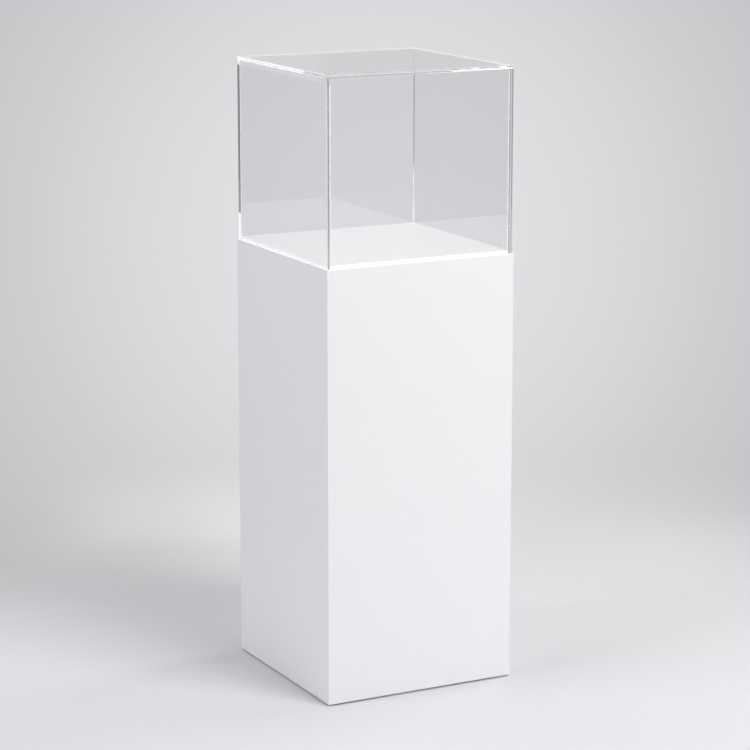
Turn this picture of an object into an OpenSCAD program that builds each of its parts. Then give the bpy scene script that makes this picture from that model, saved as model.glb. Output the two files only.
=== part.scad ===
// Pedestal display case: a lacquered plinth with a raised deck, under a lift-off clear cover.
// Millimetres. +Z is up, and the origin is the middle of the footprint, on the floor.
// The front faces -Y and the left side faces -X.

/* [Plinth] */
// Width of the plinth, left to right
plinth_w = 400; // [300:5:600]
// Depth of the plinth, front to back
plinth_d = 400; // [300:5:600]
// Height from the floor to the top edge of the side panels
plinth_h = 850; // [500:10:1200]
// Thickness of the four side panels
panel_t = 18; // [16:1:25]
// Thickness of the top panel that lies between them
top_t = 18; // [12:1:25]
// Radius of the softened outer edges of the side panels
arris_r = 1.2; // [0.5:0.1:3]
// Height of the shadow gap between the floor and the side panels
floor_gap = 3; // [1:0.5:10]

/* [Deck] */
// Thickness of the raised deck plate
deck_t = 6; // [4:0.5:12]
// Radius of the polished upper edge of the deck plate
deck_edge_r = 1.5; // [0.5:0.25:3]
// Gap between the edge of the deck plate and the walls of the cover
deck_gap = 1; // [0.5:0.25:2]
// Number of strips of mounting tape under the deck plate
tape_count = 4; // [2:1:6]
// Width of a strip of tape
tape_w = 25; // [12:1:30]
// Thickness of the tape, which lies in a recess of the same depth
tape_t = 1; // [0.5:0.25:2]
// Distance of the tape from the cleats below, seen from above
tape_margin = 6; // [2:1:20]

/* [Cover] */
// Height of the cover, from the plinth to its upper face
cover_h = 360; // [200:10:600]
// Thickness of the clear sheets
sheet_t = 6; // [4:0.5:8]
// Distance from the faces of the plinth in to the faces of the cover
cover_inset = 3; // [1.5:0.5:6]
// Width of the polished bevel along the outer edges of the sheets
sheet_bevel = 0.5; // [0.2:0.1:1]

/* [Inner frame] */
// Side of the square corner posts
post_s = 30; // [22:1:45]
// Side of the square cleats under the top panel
cleat_s = 25; // [20:1:40]
// Thickness of the base rails
rail_t = 18; // [15:1:25]
// Height of the base rails
rail_h = 60; // [50:1:100]

/* [Foot plates] */
// Length of a foot plate along each rail
plate_leg = 90; // [75:1:100]
// Length of the short edges next to its slanted edge
plate_lip = 40; // [30:1:60]
// Thickness of a foot plate
plate_t = 18; // [16:1:22]
// Height of its underside above the floor
plate_z = 18; // [15:1:24]

/* [Levelling feet] */
// Distance of a foot's axis from the two rails beside it
foot_in = 40; // [32:1:46]
// Diameter of the pad
pad_d = 32; // [26:1:40]
// Thickness of the pad's flange
pad_flange_t = 4; // [2.5:0.5:6]
// Height of the cone between the flange and the hexagon
pad_cone_h = 4; // [2:0.5:6]
// Width of the pad's hexagon across its flats
pad_hex = 14; // [12:1:17]
// Height of the pad above the floor when it is screwed in
pad_clear = 0.5; // [0.3:0.1:2]
// Diameter of the threaded stud
stud_d = 8; // [6:1:10]
// Depth of the stud in the pad
stud_seat = 9; // [5:1:11]
// How far a foot screws out
foot_travel = 12; // [5:1:20]

/* [Tee nuts] */
// Diameter of the flange
nut_flange_d = 22; // [18:1:28]
// Thickness of the flange
nut_flange_t = 1.5; // [1:0.25:2.5]
// Wall of the barrel around the stud
nut_wall = 1.2; // [0.8:0.1:2]
// Length of the barrel above the flange
nut_barrel = 12; // [8:1:14]

/* [Screws] */
// Diameter of the screws
screw_d = 4; // [3:0.5:5]
// Diameter of their countersunk heads
screw_head_d = 8; // [7:0.5:10]
// How deep a screw bites into a side panel
panel_bite = 11; // [6:1:14]
// How deep a screw bites into a cleat
cleat_bite = 15; // [8:1:18]
// How deep a screw bites into a foot plate
plate_bite = 25; // [12:1:28]
// Distance from the end of a cleat to its first screw into the side panel
cleat_screw_end = 40; // [20:1:45]
// Distance from the end of a cleat to the first screw down from the top panel
top_screw_end = 75; // [55:1:90]
// Distance between the two screws of a base rail
rail_screw_pitch = 120; // [80:5:160]

/* [Hidden] */

// The sides and the corners, each in the order in which they go round.
SIDES = ["front", "right", "back", "left"];
CORNERS = ["front_left", "front_right", "back_right", "back_left"];

// Clearances
stop_gap = 0.3;
thread_fit = 0.05;
screw_fit = 0.05;
moulded_fit = 0.02;
bore_clear = 0.5;
cut = 0.5;
round_fn = 48;

// Space inside the side panels
inner_w = plinth_w - 2 * panel_t;
inner_d = plinth_d - 2 * panel_t;
// Space inside the base rails
ring_w = inner_w - 2 * rail_t;
ring_d = inner_d - 2 * rail_t;
top_z = plinth_h - top_t;
cleat_z = top_z - cleat_s;

cover_w = plinth_w - 2 * cover_inset;
cover_d = plinth_d - 2 * cover_inset;
wall_h = cover_h - sheet_t;
deck_w = cover_w - 2 * (sheet_t + deck_gap);
deck_d = cover_d - 2 * (sheet_t + deck_gap);

tape_end = cleat_s + tape_margin;
tape_len = inner_w - 2 * tape_end;
tape_span = inner_d - 2 * tape_end - tape_w;

nut_barrel_d = stud_d + 2 * nut_wall;
prong_count = 4;
prong_w = 3;
prong_h = 6;
prong_t = 1.5;
prong_at = nut_flange_d / 2 - prong_t;

pad_top = plate_z - stop_gap;
pad_foot_r = 1;
stud_z = pad_top - stud_seat;
stud_top = plate_z + plate_t + foot_travel;
stud_tip = 1;
key_af = stud_d / 2;
key_depth = 5;

screw_land = 0.4;
screw_tip = 4;
rail_screw_z = (plate_z + plate_t + rail_h) / 2;
plate_screw_z = plate_z + plate_t / 2;
plate_screw_at = plate_leg / 2;

// ---- Places ----

// Quarter turns from the first side, or from the first corner, round to a place.
function quarters(place) = search([place], concat(SIDES, CORNERS))[0] % 4;
function runs_across(place) = quarters(place) % 2 == 0;

// The run of a side, and how far its outer face is from the middle.
function side_len(place, w, d) = runs_across(place) ? w : d;
function side_out(place, w, d) = (runs_across(place) ? d : w) / 2;

// At a side: X runs along it, Y points inwards from its outer face.
module on_side(side, w, d) {
    rotate([0, 0, 90 * quarters(side)]) translate([0, -side_out(side, w, d), 0]) children();
}

// At a corner of a w by d rectangle: X and Y both point inwards, along its sides.
module on_corner(corner, w, d) {
    rotate([0, 0, 90 * quarters(corner)])
        translate([-side_len(corner, w, d) / 2, -side_out(corner, w, d), 0]) children();
}

// ---- Profiles and shapes that repeat ----

// What rounding takes off an outer corner at the origin, with the material in -X and -Y.
module corner_waste(r) {
    translate([-r, -r]) difference() {
        square(r + cut);
        circle(r, $fn = round_fn);
    }
}

// A w by h rectangle on the X axis with both upper corners rounded.
module round_topped(w, h, r) {
    difference() {
        translate([-w / 2, 0]) square([w, h]);
        for (s = [-1, 1]) scale([s, 1]) translate([w / 2, h]) corner_waste(r);
    }
}

// A w by h rectangle on the X axis with both upper corners bevelled.
module bevel_topped(w, h, c) {
    polygon([[-w / 2, 0], [w / 2, 0], [w / 2, h - c], [w / 2 - c, h], [c - w / 2, h], [-w / 2, h - c]]);
}

// A profile drawn in X and Z, run along Y.
module run_y(length) {
    translate([0, length / 2, 0]) rotate([90, 0, 0]) linear_extrude(length) children();
}

// A profile drawn in Y and Z, run along X.
module run_x(length) {
    rotate([0, 0, 90]) run_y(length) children();
}

// Countersunk wood screw with its head's face at the origin, pointing to -Z.
module wood_screw(length, grow = 0) {
    head_r = screw_head_d / 2 + grow;
    r = screw_d / 2 + grow;
    cone = screw_land + head_r - r;
    rotate_extrude($fn = round_fn) polygon([
        [0, 0], [head_r, 0], [head_r, -screw_land], [r, -cone],
        [r, screw_tip - length], [0, -length - grow]
    ]);
}

// What the same screw takes out of the wood.
module screw_hole(length) {
    wood_screw(length, screw_fit);
    cylinder(h = cut, r = screw_head_d / 2 + screw_fit, $fn = round_fn);
}

// ---- Where the screws go ----

// From the inner face of each cleat out into its side panel.
module at_cleat_screws(side) {
    reach = side_len(side, inner_w, inner_d) / 2 - post_s - cleat_screw_end;
    for (x = [-reach, reach]) on_side(side, inner_w, inner_d)
        translate([x, cleat_s, cleat_z + cleat_s / 2]) rotate([-90, 0, 0]) children();
}

// From the upper face of the top panel down into each cleat.
module at_top_screws(side) {
    reach = side_len(side, inner_w, inner_d) / 2 - post_s - top_screw_end;
    for (x = [-reach, reach]) on_side(side, inner_w, inner_d)
        translate([x, cleat_s / 2, plinth_h]) children();
}

// From the inner face of each base rail out into its side panel.
module at_rail_screws(side) {
    for (x = [-1, 1] * rail_screw_pitch / 2) on_side(side, inner_w, inner_d)
        translate([x, rail_t, rail_screw_z]) rotate([-90, 0, 0]) children();
}

// From the outer faces of the two rails at a corner in to its foot plate.
module at_plate_screws(corner) {
    on_corner(corner, ring_w, ring_d) {
        translate([plate_screw_at, -rail_t, plate_screw_z]) rotate([90, 0, 0]) children();
        translate([-rail_t, plate_screw_at, plate_screw_z]) rotate([0, -90, 0]) children();
    }
}

cleat_screw_len = cleat_s + panel_bite;
top_screw_len = top_t + cleat_bite;
rail_screw_len = rail_t + panel_bite;
plate_screw_len = rail_t + plate_bite;

// ---- Plinth ----

// Side panel: mitred at both ends, with its outer edges softened.
module side_panel(side) {
    run = side_len(side, plinth_w, plinth_d);
    end = run / 2;
    height = plinth_h - floor_gap;
    color("white") difference() {
        on_side(side, plinth_w, plinth_d) translate([0, 0, floor_gap]) intersection() {
            linear_extrude(height) difference() {
                polygon([[-end, 0], [end, 0], [end - panel_t, panel_t], [panel_t - end, panel_t]]);
                for (s = [-1, 1]) scale([s, -1]) translate([end, 0]) corner_waste(arris_r);
            }
            run_x(run) difference() {
                square([panel_t, height]);
                translate([0, height]) scale([-1, 1]) corner_waste(arris_r);
                scale([-1, -1]) corner_waste(arris_r);
            }
        }
        at_cleat_screws(side) screw_hole(cleat_screw_len);
        at_rail_screws(side) screw_hole(rail_screw_len);
    }
}

// Panel between the four side panels, with shallow recesses for the tape.
module top_panel() {
    color("whitesmoke") difference() {
        translate([-inner_w / 2, -inner_d / 2, top_z]) cube([inner_w, inner_d, top_t]);
        tape_strips(cut);
        for (side = SIDES) at_top_screws(side) screw_hole(top_screw_len);
    }
}

// Strips of tape that lie in the top panel, flush with it.
module tape_strips(above = 0) {
    pitch = tape_span / (tape_count - 1);
    for (i = [0 : tape_count - 1])
        translate([-tape_len / 2, i * pitch - (tape_span + tape_w) / 2, plinth_h - tape_t])
            cube([tape_len, tape_w, tape_t + above]);
}

module deck_tape() {
    color("gainsboro") tape_strips();
}

// Raised plate that the cover drops over, with a polished round edge.
module deck_plate() {
    color("white") translate([0, 0, plinth_h]) intersection() {
        run_y(deck_d) round_topped(deck_w, deck_t, deck_edge_r);
        run_x(deck_w) round_topped(deck_d, deck_t, deck_edge_r);
    }
}

module top_cleat(side) {
    run = side_len(side, inner_w, inner_d) - 2 * post_s;
    color("burlywood") difference() {
        on_side(side, inner_w, inner_d) translate([-run / 2, 0, cleat_z]) cube([run, cleat_s, cleat_s]);
        at_cleat_screws(side) screw_hole(cleat_screw_len);
        at_top_screws(side) screw_hole(top_screw_len);
    }
}

// Post glued behind a mitre, from the base rails up to the top panel.
module corner_post(corner) {
    color("burlywood") on_corner(corner, inner_w, inner_d)
        translate([0, 0, rail_h]) cube([post_s, post_s, top_z - rail_h]);
}

// Rail the plinth stands on. The front and back ones run through, the side ones fit between.
module base_rail(side) {
    run = runs_across(side) ? inner_w : ring_d;
    color("tan") difference() {
        on_side(side, inner_w, inner_d) translate([-run / 2, 0, 0]) cube([run, rail_t, rail_h]);
        at_rail_screws(side) screw_hole(rail_screw_len);
        for (corner = CORNERS) at_plate_screws(corner) screw_hole(plate_screw_len);
    }
}

// ---- Foot plates and tee nuts ----

module foot_plate(corner) {
    color("tan") difference() {
        on_corner(corner, ring_w, ring_d) translate([0, 0, plate_z]) difference() {
            linear_extrude(plate_t) polygon([
                [0, 0], [plate_leg, 0], [plate_leg, plate_lip], [plate_lip, plate_leg], [0, plate_leg]
            ]);
            translate([foot_in, foot_in, 0]) {
                translate([0, 0, -cut]) cylinder(h = nut_flange_t + cut, d = nut_flange_d, $fn = round_fn);
                cylinder(h = nut_flange_t + nut_barrel, d = nut_barrel_d + 2 * moulded_fit, $fn = round_fn);
                cylinder(h = plate_t + cut, d = stud_d + 2 * bore_clear, $fn = round_fn);
                nut_prongs();
            }
        }
        at_plate_screws(corner) screw_hole(plate_screw_len);
    }
}

// Pointed prongs that stand up from the rim of a tee nut's flange, and have their roots in it.
module nut_prongs() {
    root = nut_flange_t / 2;
    side = prong_w / 2;
    for (i = [0 : prong_count - 1]) rotate([0, 0, 45 + i * 360 / prong_count])
        translate([prong_at, 0, nut_flange_t]) rotate([90, 0, -90]) translate([0, 0, -prong_t / 2])
            linear_extrude(prong_t)
                polygon([[-side, -root], [side, -root], [side, 0], [0, prong_h], [-side, 0]]);
}

// Tee nut with its flange's lower face at the origin.
module tee_nut() {
    difference() {
        union() {
            cylinder(h = nut_flange_t, d = nut_flange_d, $fn = round_fn);
            cylinder(h = nut_flange_t + nut_barrel, d = nut_barrel_d, $fn = round_fn);
            nut_prongs();
        }
        translate([0, 0, -cut])
            cylinder(h = nut_flange_t + nut_barrel + 2 * cut, d = stud_d + 2 * thread_fit, $fn = round_fn);
    }
}

module tee_nuts() {
    color("silver") for (corner = CORNERS) on_corner(corner, ring_w, ring_d)
        translate([foot_in, foot_in, plate_z]) tee_nut();
}

// ---- Levelling feet ----

// Nylon pad: round flange, cone, and a hexagon to turn it by.
module foot_pad(corner) {
    hex_r = pad_hex / 2 / cos(30);
    flange_z = pad_clear + pad_flange_t;
    color("dimgray") on_corner(corner, ring_w, ring_d) translate([foot_in, foot_in, 0]) difference() {
        union() {
            translate([0, 0, pad_clear]) rotate_extrude($fn = round_fn) polygon([
                [0, 0], [pad_d / 2 - pad_foot_r, 0], [pad_d / 2, pad_foot_r],
                [pad_d / 2, pad_flange_t], [hex_r, pad_flange_t + pad_cone_h], [0, pad_flange_t + pad_cone_h]
            ]);
            translate([0, 0, flange_z]) cylinder(h = pad_top - flange_z, r = hex_r, $fn = 6);
        }
        translate([0, 0, stud_z])
            cylinder(h = stud_seat + cut, d = stud_d + 2 * moulded_fit, $fn = round_fn);
    }
}

// Stud moulded into the pad, with a key socket in its upper end.
module foot_stud(corner) {
    r = stud_d / 2;
    color("silver") on_corner(corner, ring_w, ring_d) translate([foot_in, foot_in, 0]) difference() {
        rotate_extrude($fn = round_fn) polygon([
            [0, stud_z], [r, stud_z], [r, stud_top - stud_tip], [r - stud_tip, stud_top], [0, stud_top]
        ]);
        translate([0, 0, stud_top - key_depth])
            cylinder(h = key_depth + cut, r = key_af / 2 / cos(30), $fn = 6);
    }
}

// ---- Screws ----

module cleat_screws() {
    color("goldenrod") for (side = SIDES) at_cleat_screws(side) wood_screw(cleat_screw_len);
}

module top_screws() {
    color("goldenrod") for (side = SIDES) at_top_screws(side) wood_screw(top_screw_len);
}

module rail_screws() {
    color("goldenrod") for (side = SIDES) at_rail_screws(side) wood_screw(rail_screw_len);
}

module plate_screws() {
    color("goldenrod") for (corner = CORNERS) at_plate_screws(corner) wood_screw(plate_screw_len);
}

// ---- Cover ----

// The whole outer form of the cover: every outer edge has a bevel, the lower rim none.
module cover_form() {
    x = cover_w / 2;
    y = cover_d / 2;
    intersection() {
        linear_extrude(cover_h) polygon([
            [-x, sheet_bevel - y], [sheet_bevel - x, -y], [x - sheet_bevel, -y], [x, sheet_bevel - y],
            [x, y - sheet_bevel], [x - sheet_bevel, y], [sheet_bevel - x, y], [-x, y - sheet_bevel]
        ]);
        run_y(cover_d) bevel_topped(cover_w, cover_h, sheet_bevel);
        run_x(cover_w) bevel_topped(cover_d, cover_h, sheet_bevel);
    }
}

// Wall of the cover. The front and back ones run through, the side ones fit between.
module cover_wall(side) {
    run = runs_across(side) ? cover_w : cover_d - 2 * sheet_t;
    color("lightcyan", 0.4) translate([0, 0, plinth_h]) intersection() {
        cover_form();
        on_side(side, cover_w, cover_d) translate([-run / 2, 0, 0]) cube([run, sheet_t, wall_h]);
    }
}

module cover_top() {
    color("lightcyan", 0.4) translate([0, 0, plinth_h]) intersection() {
        cover_form();
        translate([-cover_w / 2, -cover_d / 2, wall_h]) cube([cover_w, cover_d, sheet_t]);
    }
}

side_panel("front");  // panel_front
side_panel("right");  // panel_right
side_panel("back");  // panel_back
side_panel("left");  // panel_left
top_panel();
deck_plate();
deck_tape();
top_cleat("front");  // top_cleat_front
top_cleat("right");  // top_cleat_right
top_cleat("back");  // top_cleat_back
top_cleat("left");  // top_cleat_left
corner_post("front_left");  // corner_post_front_left
corner_post("front_right");  // corner_post_front_right
corner_post("back_right");  // corner_post_back_right
corner_post("back_left");  // corner_post_back_left
base_rail("front");  // base_rail_front
base_rail("right");  // base_rail_right
base_rail("back");  // base_rail_back
base_rail("left");  // base_rail_left
foot_plate("front_left");  // foot_plate_front_left
foot_plate("front_right");  // foot_plate_front_right
foot_plate("back_right");  // foot_plate_back_right
foot_plate("back_left");  // foot_plate_back_left
tee_nuts();
cleat_screws();
top_screws();
rail_screws();
plate_screws();
foot_pad("front_left");  // foot_pad_front_left
foot_pad("front_right");  // foot_pad_front_right
foot_pad("back_right");  // foot_pad_back_right
foot_pad("back_left");  // foot_pad_back_left
foot_stud("front_left");  // foot_stud_front_left
foot_stud("front_right");  // foot_stud_front_right
foot_stud("back_right");  // foot_stud_back_right
foot_stud("back_left");  // foot_stud_back_left
cover_wall("front");  // cover_front
cover_wall("right");  // cover_right
cover_wall("back");  // cover_back
cover_wall("left");  // cover_left
cover_top();
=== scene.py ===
"""Pedestal display case: finishes, clear cover, threads, screws and the studio it stands in.

Metres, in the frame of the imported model: +Z is up, the front faces -Y and the left side faces -X.
"""

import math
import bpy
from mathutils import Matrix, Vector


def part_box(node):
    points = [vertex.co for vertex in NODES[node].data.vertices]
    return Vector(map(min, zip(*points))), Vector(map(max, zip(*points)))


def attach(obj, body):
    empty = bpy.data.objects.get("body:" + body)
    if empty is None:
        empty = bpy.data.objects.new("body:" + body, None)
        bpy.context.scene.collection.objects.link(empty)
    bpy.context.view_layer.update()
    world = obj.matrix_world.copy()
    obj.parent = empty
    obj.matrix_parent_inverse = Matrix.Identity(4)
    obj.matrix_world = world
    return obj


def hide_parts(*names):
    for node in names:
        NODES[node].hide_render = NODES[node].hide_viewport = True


bl_info = {
    "name": "Pedestal Display Case",
    "version": (1, 0, 0),
    "blender": (4, 5, 0),
    "location": "View3D > Sidebar > Display Case",
    "description": "Finishes, clear cover, hardware and studio for a lacquered pedestal display case",
    "category": "Object",
}

import bmesh
import bpy
from bpy.props import FloatProperty, FloatVectorProperty, IntProperty, PointerProperty
from mathutils import Euler, Matrix, Vector

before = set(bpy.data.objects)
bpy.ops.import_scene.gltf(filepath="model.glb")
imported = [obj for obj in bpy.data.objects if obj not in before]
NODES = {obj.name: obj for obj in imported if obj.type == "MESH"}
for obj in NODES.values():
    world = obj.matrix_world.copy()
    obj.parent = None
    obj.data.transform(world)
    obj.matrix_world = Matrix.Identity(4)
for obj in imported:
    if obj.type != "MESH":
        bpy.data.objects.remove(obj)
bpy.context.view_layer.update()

MM = 0.001
BLACK, WHITE = (0, 0, 0, 1), (1, 1, 1, 1)
SIDES = ("front", "right", "back", "left")
CORNERS = ("front_left", "front_right", "back_right", "back_left")
AXES = {"X": Vector((1, 0, 0)), "Y": Vector((0, 1, 0)), "Z": Vector((0, 0, 1))}


# ---- Shader trees ----


class Wire:
    """The output of a shader node. Arithmetic on it adds Math nodes to the same tree."""

    def __init__(self, tree, socket):
        self.tree = tree
        self.socket = socket

    def maths(self, operation, *values):
        """Any Math node's operation on values."""
        return self.tree.add("ShaderNodeMath", values, operation=operation)

    def __add__(self, other):
        return self.maths("ADD", self, other)

    def __sub__(self, other):
        return self.maths("SUBTRACT", self, other)

    def __rsub__(self, other):
        return self.maths("SUBTRACT", other, self)

    def __mul__(self, other):
        return self.maths("MULTIPLY", self, other)

    def __truediv__(self, other):
        return self.maths("DIVIDE", self, other)

    def __pow__(self, other):
        return self.maths("POWER", self, other)

    def __abs__(self):
        return self.maths("ABSOLUTE", self)

    __radd__ = __add__
    __rmul__ = __mul__

    def fraction(self):
        return self.maths("FRACT", self)

    def most(self, other):
        """The greater of the two."""
        return self.maths("MAXIMUM", self, other)

    def rise(self, start, end, low=0.0, high=1.0):
        """From low before start to high after end, with soft ends."""
        sockets = {
            "Value": self, "From Min": start, "From Max": end, "To Min": low, "To Max": high,
        }
        return self.tree.add("ShaderNodeMapRange", sockets, interpolation_type="SMOOTHSTEP")


class ShaderTree:
    """Node tree of a material or of the world, built one node at a time."""

    def __init__(self, owner):
        owner.use_nodes = True
        self.nodes = owner.node_tree.nodes
        self.links = owner.node_tree.links
        self.nodes.clear()
        kind = "World" if isinstance(owner, bpy.types.World) else "Material"
        self.end = self.nodes.new("ShaderNodeOutput" + kind)

    def add(self, kind, sockets=(), output=0, stops=(), **settings):
        """Adds a node: its settings and stops first, then the values or wires of its sockets."""
        node = self.nodes.new(kind)
        for name, value in settings.items():
            setattr(node, name, value)
        for i, (place, colour) in enumerate(stops):
            elements = node.color_ramp.elements
            element = elements[i] if i < len(elements) else elements.new(place)
            element.position = place
            element.color = colour
        pairs = sockets.items() if isinstance(sockets, dict) else enumerate(sockets)
        for key, value in pairs:
            if isinstance(value, Wire):
                self.links.new(value.socket, node.inputs[key])
            else:
                node.inputs[key].default_value = value
        return Wire(self, node.outputs[output])

    def close(self, socket, wire):
        """Leads a wire into a socket of the tree's output."""
        self.links.new(wire.socket, self.end.inputs[socket])

    def place(self):
        """Where a point lies on the object, in metres."""
        return self.add("ShaderNodeTexCoord", output="Object")

    def facing(self):
        """The direction that the surface faces."""
        return self.add("ShaderNodeNewGeometry", output="Normal")

    def split(self, vector):
        """The X, Y and Z of a vector."""
        first = self.add("ShaderNodeSeparateXYZ", [vector])
        return [Wire(self, socket) for socket in first.socket.node.outputs]

    def stretched(self, vector, scale):
        """A vector times a scale for each axis."""
        return self.add("ShaderNodeVectorMath", [vector, scale], operation="MULTIPLY")

    def noise(self, vector, scale, detail=2.0, roughness=0.5):
        """Soft noise from 0 to 1, finer as scale grows."""
        sockets = {"Vector": vector, "Scale": scale, "Detail": detail, "Roughness": roughness}
        return self.add("ShaderNodeTexNoise", sockets)

    def cells(self, vector, scale):
        """Distance to the middle of the nearest of many small cells."""
        sockets = {"Vector": vector, "Scale": scale}
        return self.add("ShaderNodeTexVoronoi", sockets, output="Distance")

    def tint(self, share, start, end):
        """From the colour start to the colour end, by share."""
        return self.add("ShaderNodeMix", {0: share, 6: start, 7: end}, output=2, data_type="RGBA")

    def bump(self, height, depth):
        """Relief: a height of 1 stands out by depth."""
        return self.add("ShaderNodeBump", {"Strength": 1.0, "Distance": depth, "Height": height})

    def ray(self, kind):
        """1 for rays of a kind of the Light Path node, 0 for the others."""
        return self.add("ShaderNodeLightPath", output=kind)

    def mixed(self, share, start, end):
        """From the shader start to the shader end, by share."""
        return self.add("ShaderNodeMixShader", [share, start, end])

    def close_surface(self, sockets):
        """Ends the tree in a Principled shader with these sockets."""
        self.close("Surface", self.add("ShaderNodeBsdfPrincipled", sockets))


def new_material(name):
    """A material and its empty tree."""
    material = bpy.data.materials.new(name)
    return material, ShaderTree(material)


def shade(colour, factor=1.0):
    """A colour times a factor, with full alpha."""
    return (*(factor * channel for channel in colour), 1.0)


# ---- Settings ----


class LacquerSettings(bpy.types.PropertyGroup):
    white: FloatVectorProperty(
        name="White", description="Colour of the lacquer", subtype="COLOR", default=(0.905, 0.912, 0.926)
    )
    sheen: FloatProperty(
        name="Roughness", description="Roughness of the satin lacquer", default=0.42, min=0, max=1
    )
    peel_size: FloatProperty(
        name="Orange Peel", description="Width of the ripples in the sprayed coat", default=1.6 * MM,
        unit="LENGTH",
    )
    peel_depth: FloatProperty(
        name="Peel Depth", description="Height of those ripples", default=0.004 * MM, unit="LENGTH"
    )
    board: FloatVectorProperty(
        name="Board", description="Colour of the bare fibreboard inside", subtype="COLOR",
        default=(0.46, 0.34, 0.22),
    )


class AcrylicSettings(bpy.types.PropertyGroup):
    ior: FloatProperty(
        name="IOR", description="Refractive index of cast acrylic", default=1.49, min=1.3, max=1.6
    )
    clear: FloatVectorProperty(
        name="Clear", description="Colour of the clear sheets", subtype="COLOR", default=(0.97, 0.97, 0.975)
    )
    depth_tint: FloatVectorProperty(
        name="Depth Tint", description="Colour that long paths inside a sheet take", subtype="COLOR",
        default=(0.86, 0.86, 0.87),
    )
    depth_density: FloatProperty(
        name="Depth Density", description="How fast light fades along a sheet, per metre", default=2.0, min=0
    )
    passed: FloatProperty(
        name="Passed", description="Share of the room's light that passes through the sheets",
        default=0.96, min=0, max=1,
    )
    edge_radius: FloatProperty(
        name="Edge Radius", description="Radius of the polished outer edges", default=0.5 * MM, unit="LENGTH"
    )
    edge_steps: IntProperty(name="Edge Steps", description="Facets across a polished edge", default=3, min=1)
    rim_air: FloatProperty(
        name="Rim Air", description="Air left under the flat of the polished rim", default=0.1 * MM,
        unit="LENGTH",
    )
    bead: FloatProperty(
        name="Bead", description="Width of the weld beads along the inner edges", default=1.2 * MM,
        unit="LENGTH",
    )
    front_bead: FloatProperty(
        name="Front Bead", description="Width of the weld beads in the two front corners", default=1.9 * MM,
        unit="LENGTH",
    )
    film: FloatProperty(
        name="Film", description="Thickness of the welds under the top sheet", default=0.1 * MM, unit="LENGTH"
    )
    film_width: FloatProperty(
        name="Film Width", description="Width of the welds under the top sheet", default=5.2 * MM,
        unit="LENGTH",
    )
    sheet_excess: FloatProperty(
        name="Sheet Excess", description="How much thicker than its nominal size a cast sheet comes",
        default=0.3 * MM, unit="LENGTH",
    )
    # Strength of the glow painted on the welds by emission, standing in for light the sheets lead out there.
    painted_weld_glow: FloatProperty(
        name="Weld Glow", description="Light that the sheets lead out at their welds", default=0.15, min=0
    )
    weld_white: FloatProperty(
        name="Weld White", description="Lightness of the solvent welds", default=0.85, min=0, max=1
    )
    weld_share: FloatProperty(
        name="Weld Share", description="Share of the light that a weld stops", default=0.95, min=0, max=1
    )
    opal: FloatVectorProperty(
        name="Opal", description="Colour of the opal deck plate", subtype="COLOR",
        default=(0.915, 0.92, 0.935),
    )
    deck_gloss: FloatProperty(
        name="Deck Roughness", description="Roughness of the polished deck", default=0.1, min=0, max=1
    )
    # Strength of the glow painted on the rim of the opal plate by emission.
    painted_rim_glow: FloatProperty(
        name="Rim Glow", description="Light that the opal plate leads out at its rim", default=0.3, min=0
    )


class TimberSettings(bpy.types.PropertyGroup):
    pine: FloatVectorProperty(
        name="Pine", description="Colour of the early wood", subtype="COLOR", default=(0.72, 0.50, 0.28)
    )
    pine_late: FloatVectorProperty(
        name="Late Wood", description="Colour of the late wood", subtype="COLOR", default=(0.50, 0.29, 0.12)
    )
    ring_pitch: FloatProperty(
        name="Ring Pitch", description="Distance between growth rings", default=5 * MM, unit="LENGTH"
    )
    birch: FloatVectorProperty(
        name="Birch", description="Colour of the birch faces", subtype="COLOR", default=(0.66, 0.50, 0.32)
    )
    birch_end: FloatVectorProperty(
        name="End Grain", description="Colour of the plies that show end grain", subtype="COLOR",
        default=(0.38, 0.25, 0.14),
    )
    ply: FloatProperty(name="Ply", description="Thickness of one ply", default=1.4 * MM, unit="LENGTH")


class HardwareSettings(bpy.types.PropertyGroup):
    zinc: FloatVectorProperty(
        name="Zinc", description="Colour of bright zinc plate", subtype="COLOR", default=(0.62, 0.64, 0.67)
    )
    yellow_zinc: FloatVectorProperty(
        name="Yellow Zinc", description="Colour of yellow zinc plate", subtype="COLOR",
        default=(0.72, 0.53, 0.22),
    )
    yellow_drift: FloatVectorProperty(
        name="Yellow Drift", description="Paler colour of yellow zinc plate in patches", subtype="COLOR",
        default=(0.62, 0.50, 0.30),
    )
    nylon: FloatVectorProperty(
        name="Nylon", description="Colour of the foot pads", subtype="COLOR", default=(0.022, 0.022, 0.024)
    )
    foam: FloatVectorProperty(
        name="Foam", description="Colour of the mounting tape", subtype="COLOR", default=(0.62, 0.62, 0.60)
    )
    stud_pitch: FloatProperty(
        name="Stud Pitch", description="Pitch of the studs", default=1.25 * MM, unit="LENGTH"
    )
    stud_key: FloatProperty(
        name="Stud Key", description="Width of the hexagon socket in a stud", default=4 * MM, unit="LENGTH"
    )
    stud_key_depth: FloatProperty(
        name="Key Depth", description="Depth of that socket", default=5 * MM, unit="LENGTH"
    )
    screw_pitch: FloatProperty(
        name="Screw Pitch", description="Pitch of the wood screws", default=1.8 * MM, unit="LENGTH"
    )
    recess: FloatProperty(
        name="Recess", description="Width of the cross recess in a screw head", default=4.2 * MM,
        unit="LENGTH",
    )
    turn_seed: IntProperty(
        name="Turn Seed", description="Seed for where each screw has stopped", default=7
    )


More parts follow.
